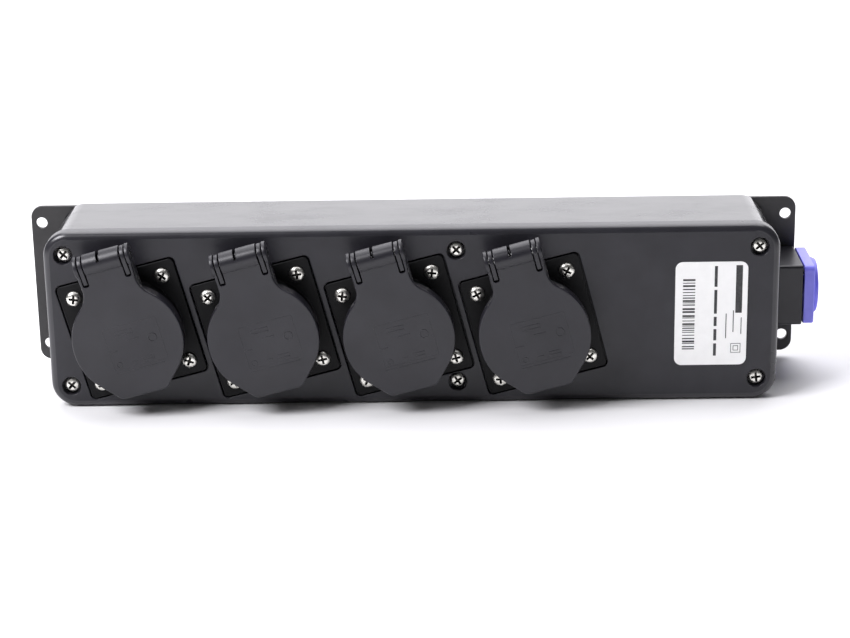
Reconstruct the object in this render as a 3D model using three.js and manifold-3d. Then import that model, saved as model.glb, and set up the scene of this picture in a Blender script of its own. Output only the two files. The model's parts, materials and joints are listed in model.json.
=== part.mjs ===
// Portable power distribution box: a slim moulded enclosure on a flanged mounting plate,
// with four lidded panel sockets, set at a slant, in its front cover and a round locking
// power inlet on a block at its right end.
//
// Units are millimetres. +X runs along the box to the inlet, -Y points out of the front
// and +Z is up. The origin is the centre of the mounting plate's back face. Inside the
// model the Y of each piece is its depth behind the front cover's outer face, so that
// negative depths stand proud of the cover; one group moves them all to the origin.
import * as THREE from 'three';
import { mergeVertices } from 'three/addons/utils/BufferGeometryUtils.js';
import Module from 'manifold-3d';

const wasm = await Module();
wasm.setup();

// ---- Driving dimensions ------------------------------------------------------------
const GAP = 0.3; // clearance between pieces that touch
const TOUCH = 0.05; // what is left under a label or a screw's head
const PAST = 1; // how far a cutting tool runs past the face that it opens

// Enclosure
const COVER = { width: 301.2, height: 75.3, radius: 10.5, thick: 7.4, edge: 2.8 };
const PLUG = { inset: 6.3, radius: 5.2, back: 9.4 }; // step that locates the cover
const HOUSING = { width: 298, height: 71.6, radius: 8.4, wall: 3.8, innerRadius: 5 };
const RIM_GASKET = { front: COVER.thick + GAP / 3, back: 8.2, width: 3.2, inset: 0.5 };
const BODY_DEPTH = 53.3; // cover face to plate face
const PLATE = { width: 328.4, height: 69.4, radius: 5, thick: 2 };
const PLATE_HOLE = { radius: 2.4, x: 159.8, z: 27.3 };
const COVER_SCREWS = { x: 142.1, z: 28.3, middleX: 18.5, pocketR: 3.9, pocket: 3.2, boreR: 2 };
const POST = { radius: 4.6, front: PLUG.back + GAP, bore: 34 };
const LABEL = { x: 122.7, width: 29.6, height: 44.4, radius: 3, thick: 0.3 };

// Sockets: x' and z' below are along and across the turned socket
const SOCKETS = { count: 4, firstX: -115.5, pitch: 55.13, z: -3.6, tilt: 14.5 };
const FLANGE = { side: 50, radius: 1.9, proud: 0.4, back: 1.9, screw: 19, boreR: 2.1 };
const RECESS = { side: 51.1, radius: 2.4, depth: 3.2, boreR: 22.5 };
const COLLAR = { radius: 21, front: -11 };
const WELL = { radius: 19.6, floor: 6.5 };
const REAR = { radius: 22, back: 22 };
const PIN_HOLE = { x: 9.5, radius: 3 };
const EARTH_SLOT = { near: 17, far: 19.2, half: 2.8 };
const GUIDE = { reach: 1.6, root: 0.6, half: 2.4, front: -9 };

// Lid and hinge: the axis lies along x' at depth HINGE.y and height HINGE.z
const HINGE = { y: -11.6, z: 33.8, barrelR: 4.8, earR: 4.5, boreR: 1.8, pinR: 1.4 };
const BARREL = { half: 7.7, cavityHalf: 4.6, cavityR: 3.7 };
const EAR = { inner: 8.15, outer: 9.85 };
const EAR_POST = { low: 17, lowFront: -8.4, step: 21.6, stepFront: -12.5, tip: 26.6, tipFront: -14.9 };
const EAR_BACK = 24; // where the ear's sloping back meets the flange
const CHEEK = { inner: 10.2, outer: 11.7 };
const LID = { front: -15.2, inside: -13, skirt: -9, radius: 22.7, drop: 0.9, wall: 1.2 };
const THUMB_EDGE = { x: 8, low: 23.9, radius: 3.5 }; // straight lower edge, from corner to corner
const NECK = { half: 11.2, fillet: 10, wallLow: 19.2 };
const LID_SLOT = { inner: 7.75, outer: 10.15, low: 25.9 };
const NOTCH = { start: -1.7, end: -0.4, back: 2.4, low: 1.2 };
const SEAL = { inner: 17.6, outer: 20.4, front: LID.inside + GAP, back: COLLAR.front - GAP };
const SPRING = { radius: 2.65, wireR: 0.375, turns: 4, perTurn: 7, half: 3.4 };

// Screws: head and shank radii, head height and length under the head
const FLANGE_SCREW = { headR: 3.2, head: 2, shankR: 1.6, length: 9 };
const COVER_SCREW = { headR: 3.3, head: 2.1, shankR: 1.6, length: 24 };
const CROWN = { radius: 0.75, height: 0.8 }; // where a head's flat top ends, as shares of its size
const INLET_SCREW = { headR: 2.6, head: 1.5, shankR: 1.3, length: 10 };

// Inlet, on an axis along X at depth INLET.y
const INLET = { y: 37.7, blockFront: 22.4, blockBack: 53, blockHalf: 13, blockEnd: 163.6 };
const INLET_FLANGE = { start: 164.2, end: 168.6, height: 25.4, depth: 30.4, radius: 2.2 };
const INLET_COLLAR = { radius: 12, end: 170.9, mouthR: 10.3, mouthFloor: 146 };
const INLET_REAR = { radius: 11, start: 136, wallBoreR: 11.4, wireBoreR: 6.5 };
const INSERT = { radius: 4.6, end: 168, baseR: 9.9, baseEnd: 149.5 };
const KEYWAY = { start: 151.5, half: 1, low: 3.2 };
const INLET_BOLT = { y: 11.7, z: 9.3, bore: 9, pocketR: 2.75, pocket: 1.8 };

// Wiring
const SLEEVE = { outer: 2.7, inner: 2.2, front: 8, floor: 18, back: 21 };
const CLIP = { near: 17.5, far: 18.5, half: 2.2, front: -7, back: 24, bridge: 24.6 };
const WIRE = { radius: 1.3, steps: 34, sides: 5, lift: 14, depth: 30, earthDepth: 35, reach: 14 };
const CLAMP = { half: 1.9, wireDepth: 25, back: 27.5 };
const TO_INLET = { bendX: 112, bendBack: 3, startX: 130, endX: 142, poleY: -3, poleZ: 3.2, earthY: 3.4 };

// ---- Materials -----------------------------------------------------------------------
const material = (color, roughness, metalness = 0) =>
  new THREE.MeshStandardMaterial({ color, roughness, metalness });
const LOOKS = {
  shell: () => material(0x2b2b2e, 0.5),
  plate: () => material(0x3a3a3c, 0.55),
  lid: () => material(0x3f3f43, 0.45),
  socket: () => material(0x1b1b1d, 0.5),
  rubber: () => material(0x161616, 0.9),
  paper: () => material(0xf2f2f0, 0.6),
  nickel: () => material(0xc9c7bf, 0.3, 1),
  steel: () => material(0x9a9a9a, 0.35, 1),
  brass: () => material(0xc8a95a, 0.35, 1),
  blue: () => material(0x6a63d8, 0.4),
};

// ---- Shape and solid helpers -----------------------------------------------------------
const X_AXIS = new THREE.Vector3(1, 0, 0);
const Y_AXIS = new THREE.Vector3(0, 1, 0);
const Z_AXIS = new THREE.Vector3(0, 0, 1);

function solid(geometry) {
  const bare = new THREE.BufferGeometry();
  bare.setAttribute('position', geometry.attributes.position);
  bare.setIndex(geometry.index);
  const merged = mergeVertices(bare, 1e-4);
  const corners = merged.index.array;
  const triangles = [];
  for (let i = 0; i < corners.length; i += 3) {
    const [a, b, c] = [corners[i], corners[i + 1], corners[i + 2]];
    if (a !== b && b !== c && c !== a) triangles.push(a, b, c);
  }
  return new wasm.Manifold(new wasm.Mesh({
    numProp: 3,
    vertProperties: Float32Array.from(merged.attributes.position.array),
    triVerts: Uint32Array.from(triangles),
  }));
}

function geometryOf(body) {
  const { vertProperties, triVerts } = body.getMesh();
  const geometry = new THREE.BufferGeometry();
  geometry.setAttribute('position', new THREE.BufferAttribute(vertProperties, 3));
  geometry.setIndex(new THREE.BufferAttribute(triVerts, 1));
  const flat = geometry.toNonIndexed();
  flat.computeVertexNormals();
  return flat;
}

function mesh(name, body, look) {
  const made = new THREE.Mesh(geometryOf(body), look());
  made.name = name;
  return made;
}

const join = (...bodies) => bodies.reduce((sum, body) => sum.add(body));
const cut = (body, ...tools) => tools.reduce((left, tool) => left.subtract(tool), body);

function roundedRect(width, height, radius) {
  const [x, z] = [width / 2 - radius, height / 2 - radius];
  const shape = new THREE.Shape();
  shape.absarc(x, z, radius, 0, Math.PI / 2);
  shape.absarc(-x, z, radius, Math.PI / 2, Math.PI);
  shape.absarc(-x, -z, radius, Math.PI, Math.PI * 1.5);
  shape.absarc(x, -z, radius, Math.PI * 1.5, Math.PI * 2);
  shape.closePath();
  return shape;
}

// A shape drawn in X and Z, extruded from one depth to another
function slab(shape, front, back, curveSegments = 3) {
  const depth = back - front;
  const geometry = new THREE.ExtrudeGeometry(shape, { depth, bevelEnabled: false, curveSegments });
  geometry.rotateX(Math.PI / 2).translate(0, back, 0);
  return solid(geometry);
}

// A shape drawn in depth and Z, extruded along X
function cheek(shape, start, end, curveSegments = 6) {
  const depth = end - start;
  const geometry = new THREE.ExtrudeGeometry(shape, { depth, bevelEnabled: false, curveSegments });
  geometry.applyMatrix4(new THREE.Matrix4().makeBasis(Y_AXIS, Z_AXIS, X_AXIS));
  return solid(geometry.translate(start, 0, 0));
}

function rodY(radius, front, back, x = 0, z = 0, sides = 32) {
  const geometry = new THREE.CylinderGeometry(radius, radius, back - front, sides);
  return solid(geometry.translate(x, (front + back) / 2, z));
}

function rodX(radius, start, end, y = 0, z = 0, sides = 16) {
  const geometry = new THREE.CylinderGeometry(radius, radius, end - start, sides);
  geometry.rotateZ(Math.PI / 2);
  return solid(geometry.translate((start + end) / 2, y, z));
}

// A box given by its limits along each axis
function block([x0, x1], [y0, y1], [z0, z1]) {
  const geometry = new THREE.BoxGeometry(x1 - x0, y1 - y0, z1 - z0);
  return solid(geometry.translate((x0 + x1) / 2, (y0 + y1) / 2, (z0 + z1) / 2));
}

const ringY = (outer, inner, front, back, sides = 32) =>
  cut(rodY(outer, front, back, 0, 0, sides), rodY(inner, front - PAST, back + PAST, 0, 0, sides));

// A round wire of few sides along a curve
function wire(points, radius, steps, sides = 6) {
  const section = new THREE.Shape();
  for (let i = 0; i < sides; i++) {
    const angle = (i / sides) * Math.PI * 2;
    const corner = [radius * Math.cos(angle), radius * Math.sin(angle)];
    if (i === 0) section.moveTo(...corner);
    else section.lineTo(...corner);
  }
  section.closePath();
  const extrudePath = new THREE.CatmullRomCurve3(points);
  return solid(new THREE.ExtrudeGeometry(section, { steps, extrudePath, bevelEnabled: false }));
}

const corners = (x, z) => [[-x, z], [x, z], [x, -z], [-x, -z]];

// ---- Enclosure ---------------------------------------------------------------------------
const coverScrewSpots = [
  ...corners(COVER_SCREWS.x, COVER_SCREWS.z),
  [COVER_SCREWS.middleX, COVER_SCREWS.z],
  [COVER_SCREWS.middleX, -COVER_SCREWS.z],
];
const socketX = (index) => SOCKETS.firstX + SOCKETS.pitch * index;
const tilt = THREE.MathUtils.degToRad(SOCKETS.tilt);

// A socket's own x' and z' turned and moved to the cover's X and Z
function onCover(index, x, z) {
  return [
    socketX(index) + x * Math.cos(tilt) - z * Math.sin(tilt),
    SOCKETS.z + x * Math.sin(tilt) + z * Math.cos(tilt),
  ];
}

function roundedFront({ width, height, radius, thick, edge }) {
  const geometry = new THREE.ExtrudeGeometry(roundedRect(width, height, radius), {
    depth: thick,
    bevelThickness: edge,
    bevelSize: edge,
    bevelOffset: -edge,
    bevelSegments: 3,
    curveSegments: 3,
  });
  geometry.rotateX(Math.PI / 2).translate(0, thick + edge, 0);
  const squareBack = block([-width, width], [-PAST, thick], [-height, height]);
  return solid(geometry).intersect(squareBack);
}

function frontCover() {
  const plugShape = roundedRect(COVER.width - 2 * PLUG.inset, COVER.height - 2 * PLUG.inset, PLUG.radius);
  let cover = join(roundedFront(COVER), slab(plugShape, COVER.thick - PAST, PLUG.back));
  for (let i = 0; i < SOCKETS.count; i++) {
    const [x, z] = onCover(i, 0, 0);
    const recess = slab(roundedRect(RECESS.side, RECESS.side, RECESS.radius), -PAST, RECESS.depth, 2);
    const turned = recess.rotate([0, -SOCKETS.tilt, 0]).translate([x, 0, z]);
    cover = cut(cover, turned, rodY(RECESS.boreR, -PAST, PLUG.back + PAST, x, z, 28));
    for (const [cx, cz] of corners(FLANGE.screw, FLANGE.screw)) {
      cover = cut(cover, rodY(FLANGE.boreR, 0, PLUG.back + PAST, ...onCover(i, cx, cz), 6));
    }
  }
  for (const [x, z] of coverScrewSpots) {
    cover = cut(cover, rodY(COVER_SCREWS.pocketR, -PAST, COVER_SCREWS.pocket, x, z, 12));
    cover = cut(cover, rodY(COVER_SCREWS.boreR, 0, PLUG.back + PAST, x, z, 6));
  }
  return cover;
}

function rimGasket() {
  const { front, back, width, inset } = RIM_GASKET;
  const [outerX, outerZ] = [HOUSING.width - 2 * inset, HOUSING.height - 2 * inset];
  const outside = roundedRect(outerX, outerZ, HOUSING.radius - inset);
  const inside = roundedRect(outerX - 2 * width, outerZ - 2 * width, HOUSING.innerRadius);
  return cut(slab(outside, front, back, 2), slab(inside, front - PAST, back + PAST, 2));
}

function housing() {
  const { width, height, radius, wall, innerRadius } = HOUSING;
  const [front, back] = [RIM_GASKET.back + GAP / 3, BODY_DEPTH - GAP];
  const outside = slab(roundedRect(width, height, radius), front, back, 4);
  const hollow = roundedRect(width - 2 * wall, height - 2 * wall, innerRadius);
  const shell = cut(outside, slab(hollow, front - PAST, back - wall, 2));
  const posts = coverScrewSpots.map(([x, z]) => rodY(POST.radius, POST.front, back - PAST, x, z, 10));
  const bores = coverScrewSpots.map(([x, z]) => rodY(COVER_SCREWS.boreR, 0, POST.bore, x, z, 6));
  const inletBore = rodX(INLET_REAR.wallBoreR, width / 2 - wall - PAST, width / 2 + PAST, INLET.y, 0, 24);
  return cut(join(shell, ...posts), ...bores, inletBore);
}

function mountingPlate() {
  const [front, back] = [BODY_DEPTH, BODY_DEPTH + PLATE.thick];
  const plate = slab(roundedRect(PLATE.width, PLATE.height, PLATE.radius), front, back);
  const holes = corners(PLATE_HOLE.x, PLATE_HOLE.z).map(([x, z]) =>
    rodY(PLATE_HOLE.radius, front - PAST, back + PAST, x, z, 12));
  return cut(plate, ...holes);
}

function ratingLabel() {
  const face = slab(roundedRect(LABEL.width, LABEL.height, LABEL.radius), -LABEL.thick - TOUCH, -TOUCH, 2);
  return face.translate([LABEL.x, 0, 0]);
}

// A pan head screw along depth, its head's underside at zero and its head in front
function screw({ headR, head, shankR, length }) {
  const profile = [
    [0, -head], [headR * CROWN.radius, -head * CROWN.height], [headR, 0],
    [shankR, 0], [shankR, length], [0, length],
  ];
  return solid(new THREE.LatheGeometry(profile.map(([r, y]) => new THREE.Vector2(r, y)), 10));
}

// ---- Sockets: pieces drawn upright about the socket's own centre ----------------------------
const tangentAngle = (point, radius, side) => {
  const [dy, dz] = [point[0] - HINGE.y, point[1] - HINGE.z];
  return Math.atan2(dz, dy) + side * Math.acos(radius / Math.hypot(dy, dz));
};

// The ear's side view: a post that steps round the lid's skirt, up to a round eye in the lid's slot
function earShape() {
  const { low, lowFront, step, stepFront, tip, tipFront } = EAR_POST;
  const foot = FLANGE.back - PAST;
  const start = tangentAngle([foot, EAR_BACK], HINGE.earR, 1);
  const end = tangentAngle([tipFront, tip], HINGE.earR, -1) + Math.PI * 2;
  const shape = new THREE.Shape();
  shape.moveTo(tipFront, tip);
  shape.lineTo(stepFront, tip);
  shape.lineTo(stepFront, step);
  shape.lineTo(lowFront, step);
  shape.lineTo(lowFront, low);
  shape.lineTo(foot, low);
  shape.lineTo(foot, EAR_BACK);
  shape.absarc(HINGE.y, HINGE.z, HINGE.earR, start, end);
  shape.closePath();
  return shape;
}

const bothSides = (make, inner, outer) => [make(inner, outer), make(-outer, -inner)];

function socketBody() {
  const flange = slab(roundedRect(FLANGE.side, FLANGE.side, FLANGE.radius), -FLANGE.proud, FLANGE.back, 2);
  const collar = rodY(COLLAR.radius, COLLAR.front, FLANGE.back, 0, 0, 32);
  const rear = rodY(REAR.radius, FLANGE.back - PAST, REAR.back, 0, 0, 20);
  const ears = bothSides((a, b) => cheek(earShape(), a, b, 3), EAR.inner, EAR.outer);
  const well = rodY(WELL.radius, COLLAR.front - PAST, WELL.floor, 0, 0, 28);
  const behind = REAR.back + PAST;
  const pinHoles = [-1, 1].map((side) => rodY(PIN_HOLE.radius, 0, behind, side * PIN_HOLE.x, 0, 10));
  const slots = bothSides((a, b) => block([-EARTH_SLOT.half, EARTH_SLOT.half], [0, behind], [a, b]),
    EARTH_SLOT.near, EARTH_SLOT.far);
  const bores = corners(FLANGE.screw, FLANGE.screw).map(([x, z]) =>
    rodY(FLANGE.boreR, -FLANGE.proud - PAST, FLANGE.back + PAST, x, z, 6));
  const pinBore = rodX(HINGE.boreR, -CHEEK.outer, CHEEK.outer, HINGE.y, HINGE.z, 8);
  const guide = (a, b) => block([a, b], [GUIDE.front, WELL.floor + PAST], [-GUIDE.half, GUIDE.half]);
  const guides = bothSides(guide, WELL.radius - GUIDE.reach, WELL.radius + GUIDE.root);
  const shell = cut(join(flange, collar, rear, ...ears), well, ...pinHoles, ...slots, ...bores, pinBore);
  return join(shell, ...guides);
}

function socketGasket() {
  const side = FLANGE.side - 1;
  const [front, back] = [FLANGE.back + GAP, RECESS.depth - GAP];
  const sheet = slab(roundedRect(side, side, FLANGE.radius), front, back, 2);
  const tool = (radius, x, z, sides) => rodY(radius, front - PAST, back + PAST, x, z, sides);
  const bores = corners(FLANGE.screw, FLANGE.screw).map(([x, z]) => tool(FLANGE.boreR, x, z, 6));
  return cut(sheet, tool(RECESS.boreR, 0, 0, 20), ...bores);
}

// Adds the lid's lower half: a straight thumb edge between two flanks that touch a lowered disc
function addThumbEdge(shape, radius, shrink) {
  const { x, low } = THUMB_EDGE;
  const turn = THUMB_EDGE.radius - shrink;
  const z = THUMB_EDGE.radius - low;
  const across = z + LID.drop;
  const flank = Math.atan2(across, x) + Math.acos((radius - turn) / Math.hypot(x, across));
  shape.absarc(0, -LID.drop, radius, Math.PI, Math.PI - flank);
  shape.absarc(-x, z, turn, Math.PI - flank, Math.PI * 1.5);
  shape.absarc(x, z, turn, Math.PI * 1.5, Math.PI * 2 + flank);
  shape.absarc(0, -LID.drop, radius, Math.PI * 2 + flank, Math.PI * 2);
}

// The lid's front view: a disc with a thumb edge, and a neck with filleted shoulders
function lidShape(shrink = 0, withNeck = true) {
  const radius = LID.radius - shrink;
  const shape = new THREE.Shape();
  addThumbEdge(shape, radius, shrink);
  if (!withNeck) {
    shape.absarc(0, 0, radius, 0, Math.PI);
    shape.closePath();
    return shape;
  }
  const centreX = NECK.half + NECK.fillet;
  const centreZ = Math.sqrt((radius + NECK.fillet) ** 2 - centreX ** 2);
  const shoulder = Math.atan2(centreZ, centreX);
  shape.absarc(0, 0, radius, 0, shoulder);
  shape.absarc(centreX, centreZ, NECK.fillet, Math.PI + shoulder, Math.PI, true);
  shape.lineTo(CHEEK.outer, HINGE.z);
  shape.lineTo(-CHEEK.outer, HINGE.z);
  shape.absarc(-centreX, centreZ, NECK.fillet, 0, -shoulder, true);
  shape.absarc(0, 0, radius, Math.PI - shoulder, Math.PI);
  shape.closePath();
  return shape;
}

function lid() {
  const face = slab(lidShape(), LID.front, LID.inside, 4);
  const root = LID.inside - GAP; // how deep the walls behind the face run into it
  const skirt = cut(slab(lidShape(0, false), root, LID.skirt, 8),
    slab(lidShape(LID.wall, false), root - PAST, LID.skirt + PAST, 8));
  const neckWalls = bothSides((a, b) => block([a, b], [root, LID.skirt], [NECK.wallLow, HINGE.z]),
    CHEEK.inner, CHEEK.outer);
  const barrel = rodX(HINGE.barrelR, -BARREL.half, BARREL.half, HINGE.y, HINGE.z, 16);
  const roundEnd = (a, b) => rodX(HINGE.barrelR, a, b, HINGE.y, HINGE.z, 16);
  const cheeks = bothSides(roundEnd, CHEEK.inner, CHEEK.outer);
  const clear = 2 * HINGE.barrelR;
  const [slotFront, slotBack, slotTop] = [HINGE.y - clear, HINGE.y + clear, HINGE.z + clear];
  const slot = (a, b) => block([a, b], [slotFront, slotBack], [LID_SLOT.low, slotTop]);
  const slots = bothSides(slot, LID_SLOT.inner, LID_SLOT.outer);
  const bore = rodX(HINGE.boreR, -CHEEK.outer - PAST, CHEEK.outer + PAST, HINGE.y, HINGE.z, 8);
  const cavity = rodX(BARREL.cavityR, -BARREL.cavityHalf, BARREL.cavityHalf, HINGE.y, HINGE.z, 10);
  const { start, end, back, low } = NOTCH;
  const notch = block([start, end], [slotFront, HINGE.y + back], [HINGE.z + low, slotTop]);
  return cut(join(face, skirt, ...neckWalls, barrel, ...cheeks), ...slots, bore, cavity, notch);
}

const lidSeal = () => ringY(SEAL.outer, SEAL.inner, SEAL.front, SEAL.back, 24);

const hingePin = () => rodX(HINGE.pinR, GAP - CHEEK.outer, CHEEK.outer - GAP, HINGE.y, HINGE.z, 10);

function lidSpring() {
  const { radius, wireR, turns, perTurn, half } = SPRING;
  const steps = turns * perTurn;
  const points = [];
  for (let i = 0; i <= steps; i++) {
    const angle = (i / perTurn) * Math.PI * 2;
    const x = -half + (2 * half * i) / steps;
    points.push(new THREE.Vector3(x, HINGE.y + radius * Math.cos(angle), HINGE.z + radius * Math.sin(angle)));
  }
  return wire(points, wireR, steps, 4);
}

// One socket with its lid, turned and placed on the cover
function socket(index) {
  const number = index + 1;
  const group = new THREE.Group();
  group.position.set(socketX(index), 0, SOCKETS.z);
  group.rotation.y = -tilt;
  group.add(
    mesh(`socket_body_${number}`, socketBody(), LOOKS.socket),
    mesh(`socket_gasket_${number}`, socketGasket(), LOOKS.rubber),
    mesh(`lid_${number}`, lid(), LOOKS.lid),
    mesh(`lid_seal_${number}`, lidSeal(), LOOKS.rubber),
    mesh(`lid_hinge_pin_${number}`, hingePin(), LOOKS.steel),
    mesh(`lid_spring_${number}`, lidSpring(), LOOKS.steel),
  );
  corners(FLANGE.screw, FLANGE.screw).forEach(([x, z], spot) => {
    const fastener = mesh(`socket_${number}_screw_${spot + 1}`, screw(FLANGE_SCREW), LOOKS.nickel);
    fastener.position.set(x, -FLANGE.proud - TOUCH, z);
    group.add(fastener);
  });
  return group;
}

// ---- Inlet -------------------------------------------------------------------------------------
const boltTools = (radius, start, end, sides) => [-1, 1].map((side) =>
  rodX(radius, start, end, INLET.y + side * INLET_BOLT.y, -side * INLET_BOLT.z, sides));
const boltBores = (start, end) => boltTools(INLET_SCREW.shankR + GAP, start, end, 8);

function inletBlock() {
  const { y, blockFront, blockBack, blockHalf, blockEnd } = INLET;
  const start = HOUSING.width / 2 + GAP;
  const body = block([start, blockEnd], [blockFront, blockBack], [-blockHalf, blockHalf]);
  const bore = rodX(INLET_REAR.wallBoreR, start - PAST, blockEnd + PAST, y, 0, 24);
  return cut(body, bore, ...boltBores(blockEnd - INLET_BOLT.bore, blockEnd + PAST));
}

function inletShell() {
  const { start, end, height, depth, radius } = INLET_FLANGE;
  const flange = cheek(roundedRect(depth, height, radius), start, end, 3).translate([0, INLET.y, 0]);
  const { radius: collarR, end: collarEnd, mouthR, mouthFloor } = INLET_COLLAR;
  const collar = rodX(collarR, end - PAST, collarEnd, INLET.y, 0, 32);
  const rear = rodX(INLET_REAR.radius, INLET_REAR.start, start + PAST, INLET.y, 0, 24);
  const mouth = rodX(mouthR, mouthFloor, collarEnd + PAST, INLET.y, 0, 28);
  const pockets = boltTools(INLET_BOLT.pocketR, end - INLET_BOLT.pocket, end + PAST, 12);
  const wireBore = rodX(INLET_REAR.wireBoreR, INLET_REAR.start - PAST, mouthFloor + PAST, INLET.y, 0, 16);
  return cut(join(flange, collar, rear), mouth, wireBore, ...pockets, ...boltBores(start - PAST, end + PAST));
}

// The insulator in the mouth: a base disc and a central column with a keyway
function inletInsert() {
  const floor = INLET_COLLAR.mouthFloor + GAP;
  const base = rodX(INSERT.baseR, floor, INSERT.baseEnd, INLET.y, 0, 24);
  const column = rodX(INSERT.radius, floor, INSERT.end, INLET.y, 0, 20);
  const { start, half, low } = KEYWAY;
  const keyway = block([start, INSERT.end + PAST], [INLET.y - half, INLET.y + half], [low, INSERT.baseR]);
  return cut(join(base, column), keyway);
}

function inlet() {
  const group = new THREE.Group();
  group.add(
    mesh('inlet_block', inletBlock(), LOOKS.shell),
    mesh('inlet_shell', inletShell(), LOOKS.blue),
    mesh('inlet_insert', inletInsert(), LOOKS.socket),
  );
  const seat = INLET_FLANGE.end - INLET_BOLT.pocket + TOUCH;
  [-1, 1].forEach((side, spot) => {
    const fastener = mesh(`inlet_screw_${spot + 1}`, screw(INLET_SCREW), LOOKS.nickel);
    fastener.rotation.z = Math.PI / 2;
    fastener.position.set(seat, INLET.y + side * INLET_BOLT.y, -side * INLET_BOLT.z);
    group.add(fastener);
  });
  return group;
}

// ---- Wiring: contacts of one pole in every socket, joined by one wire to the inlet -----------------
const turnOntoCover = (body, index) =>
  body.rotate([0, -SOCKETS.tilt, 0]).translate([socketX(index), 0, SOCKETS.z]);

// The wire's route: into each socket's clamp and back between the sockets, then to the inlet
function wireRoute(offset, lift, depth, inletEnd) {
  const points = [];
  const between = SOCKETS.z + lift;
  for (let i = 0; i < SOCKETS.count; i++) {
    const [x, z] = onCover(i, offset, 0);
    if (i > 0) points.push(new THREE.Vector3(x - WIRE.reach, depth, between));
    points.push(new THREE.Vector3(x, CLAMP.wireDepth, z));
    points.push(new THREE.Vector3(x + WIRE.reach, depth, between));
  }
  const [endY, endZ] = inletEnd;
  const { bendX, bendBack, startX, endX } = TO_INLET;
  points.push(new THREE.Vector3(bendX, (depth + endY) / 2 + bendBack, (lift + endZ) / 2));
  points.push(new THREE.Vector3(startX, endY, endZ));
  points.push(new THREE.Vector3(endX, endY, endZ));
  return points;
}

const route = (...where) => wire(wireRoute(...where), WIRE.radius, WIRE.steps, WIRE.sides);

// The screw clamp that holds the wire behind a contact
const terminal = (x, front) =>
  block([x - CLAMP.half, x + CLAMP.half], [front, CLAMP.back], [-CLAMP.half, CLAMP.half]);

function poleWiring(offset, lift, inletEnd) {
  let body = route(offset, lift, WIRE.depth, inletEnd);
  const { outer, inner, front, back, floor } = SLEEVE;
  for (let i = 0; i < SOCKETS.count; i++) {
    const tube = cut(rodY(outer, front, back, offset, 0, 8), rodY(inner, front - PAST, floor, offset, 0, 8));
    body = join(body, turnOntoCover(join(tube, terminal(offset, back - PAST)), i));
  }
  return body;
}

function earthWiring(inletEnd) {
  let body = route(0, 0, WIRE.earthDepth, inletEnd);
  const { near, far, half, front, back, bridge } = CLIP;
  for (let i = 0; i < SOCKETS.count; i++) {
    const springs = bothSides((a, b) => block([-half, half], [front, back], [a, b]), near, far);
    const strap = block([-half, half], [back - PAST, bridge], [-far, far]);
    body = join(body, turnOntoCover(join(...springs, strap, terminal(0, back - PAST)), i));
  }
  return body;
}

function wiring() {
  const group = new THREE.Group();
  const { poleY, poleZ, earthY } = TO_INLET;
  const y = INLET.y + poleY;
  group.add(
    mesh('line_wiring', poleWiring(-PIN_HOLE.x, -WIRE.lift, [y, -poleZ]), LOOKS.brass),
    mesh('neutral_wiring', poleWiring(PIN_HOLE.x, WIRE.lift, [y, poleZ]), LOOKS.brass),
    mesh('earth_wiring', earthWiring([INLET.y + earthY, 0]), LOOKS.brass),
  );
  return group;
}

// ---- Assembly ---------------------------------------------------------------------------------------
function enclosure() {
  const group = new THREE.Group();
  group.add(
    mesh('front_cover', frontCover(), LOOKS.shell),
    mesh('cover_gasket', rimGasket(), LOOKS.rubber),
    mesh('rear_housing', housing(), LOOKS.shell),
    mesh('mounting_plate', mountingPlate(), LOOKS.plate),
    mesh('rating_label', ratingLabel(), LOOKS.paper),
  );
  coverScrewSpots.forEach(([x, z], spot) => {
    const fastener = mesh(`cover_screw_${spot + 1}`, screw(COVER_SCREW), LOOKS.nickel);
    fastener.position.set(x, COVER_SCREWS.pocket - TOUCH, z);
    group.add(fastener);
  });
  return group;
}

const box = new THREE.Group();
const behindFace = new THREE.Group();
behindFace.position.y = -(BODY_DEPTH + PLATE.thick);
behindFace.add(enclosure(), inlet(), wiring());
for (let i = 0; i < SOCKETS.count; i++) behindFace.add(socket(i));
box.add(behindFace);

export default box;
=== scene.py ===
"""Portable power distribution box: the finished look of every piece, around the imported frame.

Pieces are drawn in millimetres as (x, depth behind the cover's front face, z) and placed
in the frame, in metres. A socket's pieces are drawn upright about the socket's own centre
and turned by the placement that its lid's hinge gives.
"""
import json
import random
from math import acos, atan2, cos, degrees, hypot, pi, radians, sin, sqrt

import bmesh
import bpy
from mathutils import Matrix, Vector
from mathutils.geometry import tessellate_polygon


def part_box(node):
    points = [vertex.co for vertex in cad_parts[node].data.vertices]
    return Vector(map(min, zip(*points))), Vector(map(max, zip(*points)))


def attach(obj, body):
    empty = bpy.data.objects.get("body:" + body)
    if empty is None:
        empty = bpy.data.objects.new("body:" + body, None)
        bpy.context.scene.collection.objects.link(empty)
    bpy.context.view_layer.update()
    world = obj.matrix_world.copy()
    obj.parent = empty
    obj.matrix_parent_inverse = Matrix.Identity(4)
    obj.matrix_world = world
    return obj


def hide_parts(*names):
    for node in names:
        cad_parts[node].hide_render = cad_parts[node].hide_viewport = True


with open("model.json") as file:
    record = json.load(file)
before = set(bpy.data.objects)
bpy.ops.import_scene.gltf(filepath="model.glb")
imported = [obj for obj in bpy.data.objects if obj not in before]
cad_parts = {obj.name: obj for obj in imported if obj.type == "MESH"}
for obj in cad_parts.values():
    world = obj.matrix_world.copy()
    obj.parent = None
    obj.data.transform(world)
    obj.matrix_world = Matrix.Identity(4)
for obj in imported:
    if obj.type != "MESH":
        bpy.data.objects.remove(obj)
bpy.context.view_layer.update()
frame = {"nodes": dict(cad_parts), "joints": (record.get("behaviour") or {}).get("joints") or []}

MM = 0.001
EDGE_STEPS = 4  # faces across a rounded edge
FINE, TIGHT, SMALL, SOFT, LIP, FULL, ROUND = 0.1, 0.15, 0.2, 0.3, 0.35, 0.4, 0.6  # edge radii, in millimetres
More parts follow.
